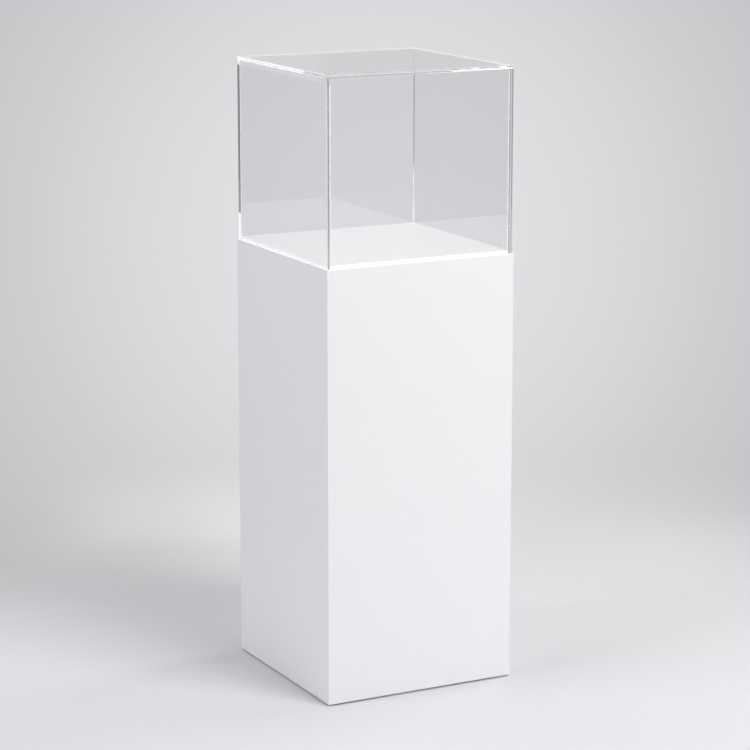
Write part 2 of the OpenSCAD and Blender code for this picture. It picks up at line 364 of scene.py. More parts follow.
class StudioSettings(bpy.types.PropertyGroup):
    floor_white: FloatVectorProperty(
        name="Floor", description="Colour of the floor", subtype="COLOR", default=(0.688, 0.686, 0.713)
    )
    pool_shift: FloatProperty(
        name="Pool Shift", description="From the case to the middle of the lit floor, towards the camera",
        default=1.5, unit="LENGTH",
    )
    pool_radius: FloatProperty(
        name="Pool Radius", description="Radius within which the floor is whole", default=1.95, unit="LENGTH"
    )
    pool_edge: FloatProperty(
        name="Pool Edge", description="Radius at which it has faded into the backdrop", default=2.5,
        unit="LENGTH",
    )
    backdrop: FloatVectorProperty(
        name="Backdrop", description="Tint of the backdrop", subtype="COLOR", default=(0.992, 0.995, 1.018)
    )
    middle_lift: FloatProperty(
        name="Middle Lift", description="Height angle of the bright middle of the backdrop", subtype="ANGLE",
        default=math.radians(-9.4),
    )
    ambient: FloatProperty(
        name="Ambient", description="Level of the soft light all round", default=0.04, min=0
    )


class CameraSettings(bpy.types.PropertyGroup):
    place: FloatVectorProperty(
        name="Place", description="Where the camera stands", subtype="TRANSLATION",
        default=(-2.42, -4.664, 1.744),
    )
    heading: FloatProperty(
        name="Heading", description="Turn of the view from +Y towards +X", subtype="ANGLE",
        default=math.radians(27.46),
    )
    tilt: FloatProperty(
        name="Tilt", description="How far the view looks down", subtype="ANGLE", default=math.radians(12.36)
    )
    lens: FloatProperty(name="Lens", description="Focal length in millimetres", default=131.2)
    sensor: FloatProperty(name="Sensor", description="Width of the sensor in millimetres", default=36)


SETTINGS = {
    "case_lacquer": LacquerSettings,
    "case_acrylic": AcrylicSettings,
    "case_timber": TimberSettings,
    "case_hardware": HardwareSettings,
    "case_studio": StudioSettings,
    "case_camera": CameraSettings,
}


# ---- Finishes ----


def satin_lacquer(settings, inner):
    """Sprayed white outside, and bare fibreboard inside.

    Boards are sprayed beyond inner, the distance of their inner faces from the middle.
    """
    bare_roughness, fibre_depth = 0.85, 0.06 * MM
    material, tree = new_material("satin_white_lacquer")
    place = tree.place()
    x, y, _ = tree.split(place)
    sprayed = abs(x).most(abs(y)).rise(inner + 0.2 * MM, inner + 1.2 * MM)
    drift = tree.noise(place, 5, detail=3)
    fibres = tree.noise(place, 420, detail=4, roughness=0.7)
    coat = tree.tint(drift, shade(settings.white, 0.985), shade(settings.white))
    board = tree.tint(fibres, shade(settings.board, 0.78), shade(settings.board, 1.15))
    peel = tree.noise(place, 1 / settings.peel_size, detail=1)
    height = peel * settings.peel_depth * sprayed + fibres * (1 - sprayed) * fibre_depth
    smoother = bare_roughness - settings.sheen
    sockets = {
        "Base Color": tree.tint(sprayed, board, coat),
        "Roughness": bare_roughness - sprayed * smoother + (drift - 0.5) * 0.05,
        "Normal": tree.bump(height, 1.0),
    }
    tree.close_surface(sockets)
    return material


def opal_acrylic(settings):
    """Polished opal sheet, with a glow painted on its rim by emission that stands in for the light it leads
    out there.
    """
    material, tree = new_material("opal_acrylic")
    place = tree.place()
    _, _, upwards = tree.split(tree.facing())
    # rim marks the plate's edges, where the glow is painted on by emission.
    rim = 1 - abs(upwards).rise(0.35, 0.95)
    wear = tree.noise(place, 60, detail=5, roughness=0.65)
    sockets = {
        "Base Color": tree.tint(wear, shade(settings.opal, 0.985), shade(settings.opal)),
        "Roughness": settings.deck_gloss + (wear - 0.5) * 0.03,
        "IOR": settings.ior,
        "Emission Color": tree.tint(rim, BLACK, WHITE),
        "Emission Strength": settings.painted_rim_glow,
    }
    tree.close_surface(sockets)
    return material


def clear_acrylic(settings):
    """Cast acrylic that bends and mirrors what is seen, and lets the light of the room through."""
    material, tree = new_material("clear_acrylic")
    glass = tree.add("ShaderNodeBsdfPrincipled", {
        "Base Color": shade(settings.clear),
        "Roughness": 0.0,
        "IOR": settings.ior,
        "Transmission Weight": 1.0,
    })
    passing = tree.ray("Is Shadow Ray").most(tree.ray("Is Diffuse Ray"))
    film = tree.add("ShaderNodeBsdfTransparent", [shade([settings.passed] * 3)])
    tree.close("Surface", tree.mixed(passing, glass, film))
    fade = {"Color": shade(settings.depth_tint), "Density": settings.depth_density}
    tree.close("Volume", tree.add("ShaderNodeVolumeAbsorption", fade))
    return material


# Where the welds are clearer, as places on the case in metres: each pair is the start and the end
# of a soft change. The back right corner is clearer and painted dark grey, as painted shade, from a third
# of its height up to the top sheet, and the front top edge is clearer over its left half. Neither has the
# painted glow.
BACK_RIGHT, UPPER_HALF, TOP_SHEET = (0.33, 0.36), (0.95, 1.0), (1.198, 1.2)
FRONT_EDGE, TOP_EDGE, RIGHT_HALF = (0.17, 0.185), (1.19, 1.196), (-0.03, 0.03)


def weld_line(settings):
    """Solvent weld between two sheets: white with fine bubbles and a painted glow, and clearer in two places,
    one of them painted dark grey as painted shade.
    """
    material, tree = new_material("weld_line")
    place = tree.place()
    x, y, z = tree.split(place)
    # clear: where the welds are painted dark grey, as painted shade, and are clearer.
    clear = (x + y).rise(*BACK_RIGHT) * z.rise(*UPPER_HALF) * (1 - z.rise(*TOP_SHEET))
    sound = (y * -1).rise(*FRONT_EDGE) * z.rise(*TOP_EDGE) * (1 - x.rise(*RIGHT_HALF))
    bubbles = tree.cells(place, 900.0)
    drift = tree.noise(tree.stretched(place, (1, 1, 0.15)), 120, detail=2)
    white, painted_shade_grey = shade([settings.weld_white] * 3), (0.2, 0.2, 0.2, 1)
    stopped = (drift - 0.5) * 0.2 - bubbles * 0.1 + settings.weld_share
    sockets = {
        "Base Color": tree.tint(clear, white, painted_shade_grey),
        "Roughness": 0.5,
        "IOR": settings.ior,
        "Alpha": stopped - clear * 0.4 - sound * 0.8,
        # Painted glow: the welds emit white light, except where they are clear or sound.
        "Emission Color": tree.tint(clear.most(sound), WHITE, BLACK),
        "Emission Strength": settings.painted_weld_glow,
    }
    tree.close_surface(sockets)
    return material


def planed_pine(settings, axis):
    """Straight-grained softwood whose grain runs along an axis."""
    material, tree = new_material("planed_pine_" + axis.lower())
    squeeze = Vector((1, 1, 1)) - AXES[axis] * 0.94
    place = tree.stretched(tree.place(), squeeze)
    sway = tree.noise(place, 14, detail=2)
    x, y, z = tree.split(place)
    spots = {"X": x, "Y": y, "Z": z}
    del spots[axis]
    first, second = spots.values()
    across = first + second * 0.35
    rings = (across / settings.ring_pitch + sway * 5).fraction()
    late = rings.rise(0.45, 0.95)
    pores = tree.noise(place, 900, detail=3, roughness=0.6)
    wood = tree.tint(late, shade(settings.pine), shade(settings.pine_late))
    wood = tree.tint(pores * 0.25, wood, shade(settings.pine_late, 0.7))
    sockets = {
        "Base Color": wood,
        "Roughness": 0.62 - late * 0.1 + pores * 0.08,
        "Normal": tree.bump(pores + late * 0.5, 0.05 * MM),
    }
    tree.close_surface(sockets)
    return material


def birch_plywood(settings, axis, start):
    """Birch plywood whose plies lie one on another along an axis, from start."""
    material, tree = new_material("birch_plywood_" + axis.lower())
    place = tree.place()
    along = dict(zip("XYZ", tree.split(place)))[axis]
    facing = dict(zip("XYZ", tree.split(tree.facing())))[axis]
    edge = 1 - abs(facing).rise(0.4, 0.8)
    pair = ((abs(along) - start) / (2 * settings.ply)).fraction()  # place within a pair of plies
    dark = pair.rise(0.44, 0.52) * (1 - pair.rise(0.94, 1.0))
    glue = pair.rise(0.40, 0.44) * (1 - pair.rise(0.46, 0.50))
    grain = tree.noise(place, 260, detail=4, roughness=0.65)
    flame = tree.noise(place, 22, detail=3)
    figure = flame * 0.5 + grain * 0.3
    face = tree.tint(figure, shade(settings.birch, 1.08), shade(settings.birch, 0.72))
    stack = tree.tint(dark, face, shade(settings.birch_end))
    stack = tree.tint(glue * 0.7, stack, shade(settings.birch_end, 0.5))
    sockets = {
        "Base Color": tree.tint(edge, face, stack),
        "Roughness": 0.6 + grain * 0.15,
        "Normal": tree.bump(grain, 0.04 * MM),
    }
    tree.close_surface(sockets)
    return material


def plated_steel(name, colour, shift, roughness):
    """Zinc-plated steel, whose plating drifts from colour to shift."""
    material, tree = new_material(name)
    place = tree.place()
    cloud = tree.noise(place, 160, detail=3)
    scuff = tree.noise(place, 1500, detail=4, roughness=0.7)
    sockets = {
        "Base Color": tree.tint(cloud.rise(0.35, 0.65), shade(colour), shade(shift)),
        "Metallic": 1.0,
        "Roughness": roughness + (scuff - 0.5) * 0.2,
        "Normal": tree.bump(scuff, 0.01 * MM),
    }
    tree.close_surface(sockets)
    return material


def moulded_nylon(settings):
    """Black nylon with the fine spark texture of its mould."""
    material, tree = new_material("moulded_black_nylon")
    place = tree.place()
    spark = tree.noise(place, 2600, detail=3, roughness=0.6)
    flow = tree.noise(place, 90, detail=2)
    sockets = {
        "Base Color": tree.tint(flow, shade(settings.nylon), shade(settings.nylon, 1.8)),
        "Roughness": 0.42 + spark * 0.16,
        "Normal": tree.bump(spark, 0.03 * MM),
    }
    tree.close_surface(sockets)
    return material


def foam_tape(settings):
    """Foam mounting tape with fine cells."""
    material, tree = new_material("foam_mounting_tape")
    place = tree.place()
    cells = tree.cells(place, 1800.0)
    patches = tree.noise(place, 40, detail=3)
    sockets = {
        "Base Color": tree.tint(patches, shade(settings.foam), shade(settings.foam, 0.88)),
        "Roughness": 0.8 - cells * 0.1,
        "Normal": tree.bump(cells, 0.08 * MM),
    }
    tree.close_surface(sockets)
    return material


def dress(material, *names):
    """Gives CAD nodes a finish."""
    for name in names:
        for slot in NODES[name].material_slots:
            slot.material = material


# ---- Meshes ----

SAME_POINT = 1e-7  # vertices of a made mesh closer than this are one
CAD_POINT = 1e-6  # the same for the loose triangles of a CAD node


def new_piece(name, mesh, material, body, replaced):
    """A finished piece that rides on a body and stands for the CAD nodes in replaced."""
    piece = bpy.data.objects.new(name, mesh)
    bpy.context.scene.collection.objects.link(piece)
    mesh.materials.clear()
    mesh.materials.append(material)
    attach(piece, body)
    if replaced:
        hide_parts(*replaced)
    return piece


def add_box(made, low, high, outwards=True, open_below=False):
    """Adds the faces of a box to a bmesh and returns its eight corners, the lower four first."""
    corners = [
        made.verts.new((x, y, z))
        for z in (low.z, high.z)
        for x, y in ((low.x, low.y), (high.x, low.y), (high.x, high.y), (low.x, high.y))
    ]
    top, bottom = [4, 5, 6, 7], [3, 2, 1, 0]
    faces = [top] + [[i, (i + 1) % 4, (i + 1) % 4 + 4, i + 4] for i in range(4)]
    if not open_below:
        faces.append(bottom)
    for face in faces:
        made.faces.new([corners[i] for i in (face if outwards else reversed(face))])
    return corners


def inside_of(low, high, sheet):
    """Lowest and highest corners of the room inside a hood of sheets, which is open below."""
    inset = Vector((sheet, sheet, 0))
    return low + inset, high - inset - Vector((0, 0, sheet))


def hood_mesh(low, high, sheet, radius, steps):
    """Five welded sheets as one solid: open below, with its outer edges rounded."""
    made = bmesh.new()
    inner_low, inner_high = inside_of(low, high, sheet)
    outer = add_box(made, low, high, open_below=True)
    inner = add_box(made, inner_low, inner_high, outwards=False, open_below=True)
    for i in range(4):
        j = (i + 1) % 4
        made.faces.new([outer[j], outer[i], inner[i], inner[j]])
    outside = set(outer)
    edges = [
        edge for edge in made.edges
        if set(edge.verts) <= outside and max(v.co.z for v in edge.verts) > low.z + sheet
    ]
    bmesh.ops.bevel(
        made, geom=edges, offset=radius, segments=steps, profile=0.5, affect="EDGES", clamp_overlap=True,
    )
    mesh = bpy.data.meshes.new("hood")
    made.to_mesh(mesh)
    made.free()
    return mesh


def bead_profile(width):
    """Hollow-faced outline of a weld bead in a corner, sunk a little into both sheets."""
    sunk = 0.02 * MM
    throat = 0.32 * width
    return [(-sunk, -sunk), (width, -sunk), (throat, throat), (-sunk, width)]


def weld_mesh(low, high, settings):
    """Welds of a cover whose inside runs from low to high.

    Beads run up the four corners and along the four inner edges of the top sheet, and a thin film
    lies between each wall and the top sheet.
    """
    made = bmesh.new()
    for x in (-1, 1):
        for y, width in ((-1, settings.front_bead), (1, settings.bead)):
            ends = [
                [made.verts.new((x * (high.x - a), y * (high.y - b), z)) for a, b in bead_profile(width)]
                for z in (low.z, high.z - settings.bead)
            ]
            prism(made, *ends)
    profile = bead_profile(settings.bead)
    for side in (-1, 1):
        ends = [
            [made.verts.new((x, side * (high.y - a), high.z - b)) for a, b in profile]
            for x in (low.x, high.x)
        ]
        prism(made, *ends)
        between = (low.y + settings.bead, high.y - settings.bead)
        ends = [
            [made.verts.new((side * (high.x - a), y, high.z - b)) for a, b in profile]
            for y in between
        ]
        prism(made, *ends)
    half = settings.film / 2
    outer = high + Vector((settings.film_width, settings.film_width, 0))
    for side in (-1, 1):
        a, b = sorted((side * high.y, side * outer.y))
        add_box(made, Vector((-outer.x, a, high.z - half)), Vector((outer.x, b, high.z + half)))
        a, b = sorted((side * high.x, side * outer.x))
        add_box(made, Vector((a, low.y, high.z - half)), Vector((b, high.y, high.z + half)))
    return closed_mesh(made, "cover_welds", 0)


def prism(made, start, end):
    """Closes two like loops of vertices into a prism."""
    for i in range(len(start)):
        j = (i + 1) % len(start)
        made.faces.new((start[i], start[j], end[j], end[i]))
    made.faces.new(start)
    made.faces.new(end)


def ring_of(made, height, count, radius_at):
    """Adds a ring of vertices round Z. radius_at gives the radius at a turn."""
    turns = [2 * math.pi * i / count for i in range(count)]
    return [made.verts.new((radius_at(t) * math.cos(t), radius_at(t) * math.sin(t), height)) for t in turns]


def skin(made, *rings):
    """Joins rings with quads, the lowest first."""
    for lower, upper in zip(rings, rings[1:]):
        for i in range(len(lower)):
            j = (i + 1) % len(lower)
            made.faces.new((lower[i], lower[j], upper[j], upper[i]))


def add_thread(made, start, end, pitch, profile, radius_at, count):
    """Adds a thread round Z and returns its first and last rings.

    profile lists pairs: a place in the pitch, and the share of the thread's height there.
    radius_at(height, share) gives the radius.
    """
    turns = math.ceil((end - start) / pitch) + 1
    rows = [(turn - 1 + place, share) for turn in range(turns + 1) for place, share in profile]
    columns = []
    for j in range(count + 1):
        angle = 2 * math.pi * j / count
        column = []
        for place, share in rows:
            height = start + pitch * (place + j / count)
            if not start < height < end:
                height, share = min(max(height, start), end), 0
            radius = radius_at(height, share)
            spot = (radius * math.cos(angle), radius * math.sin(angle), height)
            column.append(made.verts.new(spot))
        columns.append(column)
    for left, right in zip(columns, columns[1:]):
        for i in range(len(rows) - 1):
            made.faces.new((left[i], right[i], right[i + 1], left[i + 1]))
    everything = [v for column in columns for v in column]
    bmesh.ops.remove_doubles(made, verts=everything, dist=SAME_POINT)
    ends = []
    for height in (start, end):
        ring = [v for v in made.verts if abs(v.co.z - height) < SAME_POINT and v.is_boundary]
        ends.append(sorted(ring, key=lambda v: math.atan2(v.co.y, v.co.x) % (2 * math.pi - 1e-6)))
    return ends


def closed_mesh(made, name, smooth_angle):
    """Turns a bmesh into a mesh whose edges flatter than the angle are smooth."""
    bmesh.ops.dissolve_degenerate(made, dist=SAME_POINT, edges=made.edges)
    bmesh.ops.recalc_face_normals(made, faces=made.faces)
    for face in made.faces:
        face.smooth = True
    for edge in made.edges:
        edge.smooth = len(edge.link_faces) == 2 and edge.calc_face_angle(0) < smooth_angle
    mesh = bpy.data.meshes.new(name)
    made.to_mesh(mesh)
    made.free()
    return mesh


def stud_mesh(name, low, high, radius, settings):
    """Machine-threaded stud from low to high round Z, with a hexagon socket in its top."""
    made = bmesh.new()
    count = 24
    root = radius - 0.61 * settings.stud_pitch
    chamfer = MM
    flat = settings.stud_key / 2
    profile = ((0.0, 0.0), (0.12, 0.0), (0.5, 1.0), (0.62, 1.0))

    def radius_at(height, share):
        ends = min(1.0, (high - height) / chamfer, (height - low) / chamfer)
        return min(root + share * (radius - root), radius - chamfer * (1 - ends))

    def hexagon(turn):
        return flat / math.cos((turn % (math.pi / 3)) - math.pi / 6)

    bottom, top = add_thread(made, low, high, settings.stud_pitch, profile, radius_at, count)
    made.faces.new(list(reversed(bottom)))
    mouth = ring_of(made, high, count, hexagon)
    floor = ring_of(made, high - settings.stud_key_depth, count, hexagon)
    skin(made, top, mouth)
    skin(made, mouth, floor)
    made.faces.new(floor)
    return closed_mesh(made, name, math.radians(32))


SCREW_RADIUS, HEAD_RADIUS = 2 * MM, 4 * MM
LAND, TIP, CLEAR_SHANK = 0.4 * MM, 4 * MM, 0.6 * MM
HEAD_BREAK = 0.1 * MM
RECESS_ARM, RECESS_DEPTH = 0.5 * MM, 2.1 * MM


def screw_mesh(length, settings):
    """Countersunk wood screw with its head's face at the origin, pointing to +Z."""
    made = bmesh.new()
    count = 20
    neck = 0.76 * SCREW_RADIUS
    cone = LAND + HEAD_RADIUS - neck
    start = cone + CLEAR_SHANK
    profile = ((0.0, 0.0), (0.56, 0.0), (0.78, 1.0), (0.86, 0.9))

    def radius_at(height, share):
        taper = min(1.0, (length - height) / TIP)
        return taper * (0.68 * SCREW_RADIUS + share * 0.32 * SCREW_RADIUS)

    first, _ = add_thread(made, start, length, settings.screw_pitch, profile, radius_at, count)
    face = ring_of(made, 0, count, lambda turn: HEAD_RADIUS - HEAD_BREAK)
    edge = ring_of(made, HEAD_BREAK, count, lambda turn: HEAD_RADIUS)
    skirt = ring_of(made, LAND, count, lambda turn: HEAD_RADIUS)
    under = ring_of(made, cone, count, lambda turn: neck)
    skin(made, face, edge, skirt, under, first)
    reach = settings.recess / 2
    cross = []
    for x, y in ((reach, 0), (0, reach), (-reach, 0), (0, -reach)):
        along, side = Vector((x, y, 0)), Vector((-y, x, 0)) * (RECESS_ARM / reach)
        cross += [along - side, along + side, along * (1.25 * RECESS_ARM / reach) + side * 1.25]
    loops = []
    for depth, scale in ((0, 1.0), (0.55, 0.8), (1.0, 0.35)):
        sunk = Vector((0, 0, depth * RECESS_DEPTH))
        loops.append([made.verts.new(point * scale + sunk) for point in cross])
    skin(made, *reversed(loops))
    made.faces.new(loops[-1])
    rims = [
        made.edges.get((ring[i], ring[(i + 1) % len(ring)]))
        for ring in (face, loops[0]) for i in range(len(ring))
    ]
    bmesh.ops.triangle_fill(made, use_beauty=True, edges=rims)
    return closed_mesh(made, "wood_screw", math.radians(40))


def screw_places(node):
    """Head centre, direction and length of each screw in a CAD node.

    Each separate patch of the mesh is a screw. Its head is at its low end if more than two
    vertices lie in that end, and at its high end if not. It points away from its head.
    """
    made = bmesh.new()
    made.from_mesh(NODES[node].data)
    bmesh.ops.remove_doubles(made, verts=made.verts, dist=CAD_POINT)
    end_plane = 0.01 * MM
    seen = set()
    places = []
    for first in made.verts:
        if first in seen:
            continue
        seen.add(first)
        patch = [first]
        for vert in patch:
            others = (edge.other_vert(vert) for edge in vert.link_edges)
            fresh = [other for other in others if other not in seen]
            seen.update(fresh)
            patch += fresh
        low, high = (
            Vector([pick(v.co[i] for v in patch) for i in range(3)]) for pick in (min, max)
        )
        size, middle = high - low, (low + high) / 2
        along = max(range(3), key=lambda i: size[i])
        blunt = sum(abs(v.co[along] - low[along]) < end_plane for v in patch) > 2
        head, aim = middle.copy(), Vector()
        head[along] = low[along] if blunt else high[along]
        aim[along] = 1 if blunt else -1
        places.append((head, aim, size[along]))
    made.free()
    return places


# ---- Geometry Nodes ----


def placing_group(name):
    """Node group that sets an object on each point, aimed along the point's attribute "aim".

    Each is turned at random about its aim.
    """
    full_turn = 6.283
    group = bpy.data.node_groups.new(name, "GeometryNodeTree")
    inputs = {"Geometry": "Geometry", "Piece": "Object", "Seed": "Int", "Finish": "Material"}
    for label, kind in inputs.items():
        group.interface.new_socket(label, in_out="INPUT", socket_type="NodeSocket" + kind)
    group.interface.new_socket("Geometry", in_out="OUTPUT", socket_type="NodeSocketGeometry")

    def add(kind, sockets, **settings):
        """Adds a node and returns its outputs."""
        node = group.nodes.new(kind)
        for key, value in settings.items():
            setattr(node, key, value)
        for key, value in sockets.items():
            if isinstance(value, bpy.types.NodeSocket):
                group.links.new(value, node.inputs[key])
            else:
                node.inputs[key].default_value = value
        return node.outputs

    given = add("NodeGroupInput", {})
    aim = add("GeometryNodeInputNamedAttribute", {"Name": "aim"}, data_type="FLOAT_VECTOR")[0]
    facing = add("FunctionNodeAlignRotationToVector", {"Vector": aim}, axis="Z")[0]
    limits = {"Min": 0.0, "Max": full_turn, "Seed": given["Seed"]}
    turn = add("FunctionNodeRandomValue", limits, data_type="FLOAT")["Value"]
    spin = add("FunctionNodeAxisAngleToRotation", {"Axis": (0, 0, 1), "Angle": turn})[0]
    turned = {"Rotation": facing, "Rotate By": spin}
    rotation = add("FunctionNodeRotateRotation", turned, rotation_space="LOCAL")[0]
    piece = add("GeometryNodeObjectInfo", {"Object": given["Piece"]})["Geometry"]
    placing = {"Points": given["Geometry"], "Instance": piece, "Rotation": rotation}
    placed = add("GeometryNodeInstanceOnPoints", placing)[0]
    real = add("GeometryNodeRealizeInstances", {"Geometry": placed})[0]
    dressed = add("GeometryNodeSetMaterial", {"Geometry": real, "Material": given["Finish"]})[0]
    add("NodeGroupOutput", {"Geometry": dressed})
    return group


def placed_mesh(name, group, places, piece, seed, material):
    """Plain mesh of a piece set at places, each of which starts with a point and a direction."""
    points = bpy.data.meshes.new(name)
    points.from_pydata([place[0] for place in places], [], [])
    aims = points.attributes.new("aim", "FLOAT_VECTOR", "POINT")
    aims.data.foreach_set("vector", [value for place in places for value in place[1]])
    carrier = bpy.data.objects.new(name, points)
    bpy.context.scene.collection.objects.link(carrier)
    modifier = carrier.modifiers.new(name, "NODES")
    modifier.node_group = group
    values = {"Piece": piece, "Seed": seed, "Finish": material}
    for item in group.interface.items_tree:
        if item.in_out == "INPUT" and item.name in values:
            modifier[item.identifier] = values[item.name]
    evaluated = carrier.evaluated_get(bpy.context.evaluated_depsgraph_get())
    mesh = bpy.data.meshes.new_from_object(evaluated)
    carrier.modifiers.remove(modifier)
    bpy.data.objects.remove(carrier)
    return mesh


# ---- Pieces ----


class CASE_OT_side_panels(bpy.types.Operator):
    """Lacquer the mitred side panels, and leave their inner faces and the top panel bare"""

    bl_idname = "case.side_panels"
    bl_label = "Side Panels"

    def execute(self, context):
        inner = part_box("top_panel")[1].x
        material = satin_lacquer(context.scene.case_lacquer, inner)
        dress(material, "top_panel", *("panel_" + side for side in SIDES))
        return {"FINISHED"}


class CASE_OT_deck(bpy.types.Operator):
    """Finish the opal deck plate and the tape that holds it"""

    bl_idname = "case.deck"
    bl_label = "Deck"

    def execute(self, context):
        dress(opal_acrylic(context.scene.case_acrylic), "deck_plate")
        dress(foam_tape(context.scene.case_hardware), "deck_tape")
        return {"FINISHED"}


class CASE_OT_cover(bpy.types.Operator):
    """Make the clear cover as one welded hood of five sheets"""

    bl_idname = "case.cover"
    bl_label = "Clear Cover"

    def execute(self, context):
        settings = context.scene.case_acrylic
        sheets = ["cover_" + side for side in (*SIDES, "top")]
        front_low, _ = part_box("cover_front")
        _, back_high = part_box("cover_back")
        top_low, top_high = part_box("cover_top")
        low = Vector((*front_low.xy, front_low.z + settings.rim_air))
        high = Vector((*back_high.xy, top_high.z))
        sheet = top_high.z - top_low.z + settings.sheet_excess
        mesh = hood_mesh(low, high, sheet, settings.edge_radius, settings.edge_steps)
        new_piece("clear_cover", mesh, clear_acrylic(settings), "cover", sheets)
        welds = weld_mesh(*inside_of(low, high, sheet), settings)
        new_piece("cover_welds", welds, weld_line(settings), "cover", [])
        return {"FINISHED"}


class CASE_OT_timber_frame(bpy.types.Operator):
    """Finish the posts, cleats, base rails and foot plates"""

    bl_idname = "case.timber_frame"
    bl_label = "Timber Frame"

    def execute(self, context):
        settings = context.scene.case_timber
        dress(planed_pine(settings, "Z"), *("corner_post_" + corner for corner in CORNERS))
        dress(planed_pine(settings, "X"), "top_cleat_front", "top_cleat_back")
        dress(planed_pine(settings, "Y"), "top_cleat_left", "top_cleat_right")
        rail_low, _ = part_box("base_rail_right")
        dress(birch_plywood(settings, "X", rail_low.x), "base_rail_left", "base_rail_right")
        dress(birch_plywood(settings, "Y", rail_low.x), "base_rail_front", "base_rail_back")
        plate_low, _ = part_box("foot_plate_front_left")
        plates = ["foot_plate_" + corner for corner in CORNERS]
        dress(birch_plywood(settings, "Z", plate_low.z), *plates)
        return {"FINISHED"}


class CASE_OT_levelling_feet(bpy.types.Operator):
    """Make the threaded studs, and finish them with their pads and tee nuts"""

    bl_idname = "case.levelling_feet"
    bl_label = "Levelling Feet"

    def execute(self, context):
        settings = context.scene.case_hardware
        shift = [0.85 * channel for channel in settings.zinc]
        zinc = plated_steel("bright_zinc", settings.zinc, shift, 0.3)
        dress(zinc, "tee_nuts")
        dress(moulded_nylon(settings), *("foot_pad_" + corner for corner in CORNERS))
        for corner in CORNERS:
            node, name = "foot_stud_" + corner, "threaded_stud_" + corner
            low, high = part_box(node)
            mesh = stud_mesh(name, low.z, high.z, (high.x - low.x) / 2, settings)
            middle = (low + high) / 2
            mesh.transform(Matrix.Translation((middle.x, middle.y, 0)))
            new_piece(name, mesh, zinc, "foot_" + corner, [node])
        return {"FINISHED"}


class CASE_OT_screws(bpy.types.Operator):
    """Set a cross-recessed screw in each screw's place"""

    bl_idname = "case.screws"
    bl_label = "Screws"

    def execute(self, context):
        settings = context.scene.case_hardware
        yellow = plated_steel("yellow_zinc", settings.yellow_zinc, settings.yellow_drift, 0.28)
        group = placing_group("set_screws")
        for i, node in enumerate(("cleat_screws", "top_screws", "rail_screws", "plate_screws")):
            places = screw_places(node)
            _, _, length = places[0]
            piece = bpy.data.objects.new("one_screw", screw_mesh(length, settings))
            seed = settings.turn_seed + i
            mesh = placed_mesh("set_" + node, group, places, piece, seed, yellow)
            bpy.data.objects.remove(piece)
            new_piece("threaded_" + node, mesh, yellow, "plinth", [node])
        return {"FINISHED"}


# ---- Studio ----


def studio_floor(settings, centre):
    """Matt floor that fades into the backdrop away from a centre."""
    material, tree = new_material("studio_floor")
    x, y, _ = tree.split(tree.place())
    x, y = x - centre.x, y - centre.y
    far = (x * x + y * y) ** 0.5
    matt = tree.add("ShaderNodeBsdfDiffuse", [shade(settings.floor_white)])
    fade = far.rise(settings.pool_radius, settings.pool_edge)
    tree.close("Surface", tree.mixed(fade, matt, tree.add("ShaderNodeBsdfTransparent")))
    return material


# Tone of the surroundings below the horizon, from opposite the bright middle (-1) to the middle (1).
LOW_STOPS = (
    (-1.0, 0.20), (-0.5, 0.28), (0.2, 0.30), (0.6, 0.45), (0.94, 0.48), (0.982, 0.52),
    (0.9875, 0.555), (0.99, 0.59), (0.995, 0.675), (1.0, 0.77),
)
# Tone above the horizon, from straight behind the camera (-1) to straight ahead (1).
HIGH_STOPS = ((-1.0, 1.3), (-0.3, 1.3), (0.3, 0.5), (1.0, 0.64))
# Parts of the surroundings: where each soft change starts and ends along a part of the view
# direction, and after that the tones it starts and ends with, where they aren't 0 and 1.
HORIZON = (-0.04, 0.08)
WINDOW_FRONT, WINDOW_RIGHT = (0.5, 0.6), (0.442, 0.446)
WINDOW_LEFT, WINDOW_SILL = (0.3, 0.35), (-0.2485, -0.2455)
SWEEP_DOWN, SWEEP_ASIDE = (0.24, 0.288), (-0.09, -0.03, 0.0, 0.13)
FAR_SWEEP_DOWN, FAR_SWEEP_ASIDE = (0.256, 0.275), (0.05, 0.12, 0.0, 0.055)
PATCH_TOP, PATCH_FOOT = (0.243, 0.262), (0.267, 0.277)
PATCH_LEFT, PATCH_RIGHT, PATCH_TONE = (-0.125, -0.085), (-0.04, 0.03), 0.055
STRIP_FOOT, STRIP_TOP = (0.02, 0.06), (0.12, 0.135)
STRIP_NEAR, STRIP_FAR, STRIP_TONE = (0.1, 0.3), (0.65, 0.8), 0.65


def toned(tree, along, stops):
    """Grey tone by stops from -1 to 1 along a value."""
    colours = [(0.5 + 0.5 * place, shade([tone] * 3)) for place, tone in stops]
    return tree.add("ShaderNodeValToRGB", [0.5 + along * 0.5], stops=colours)


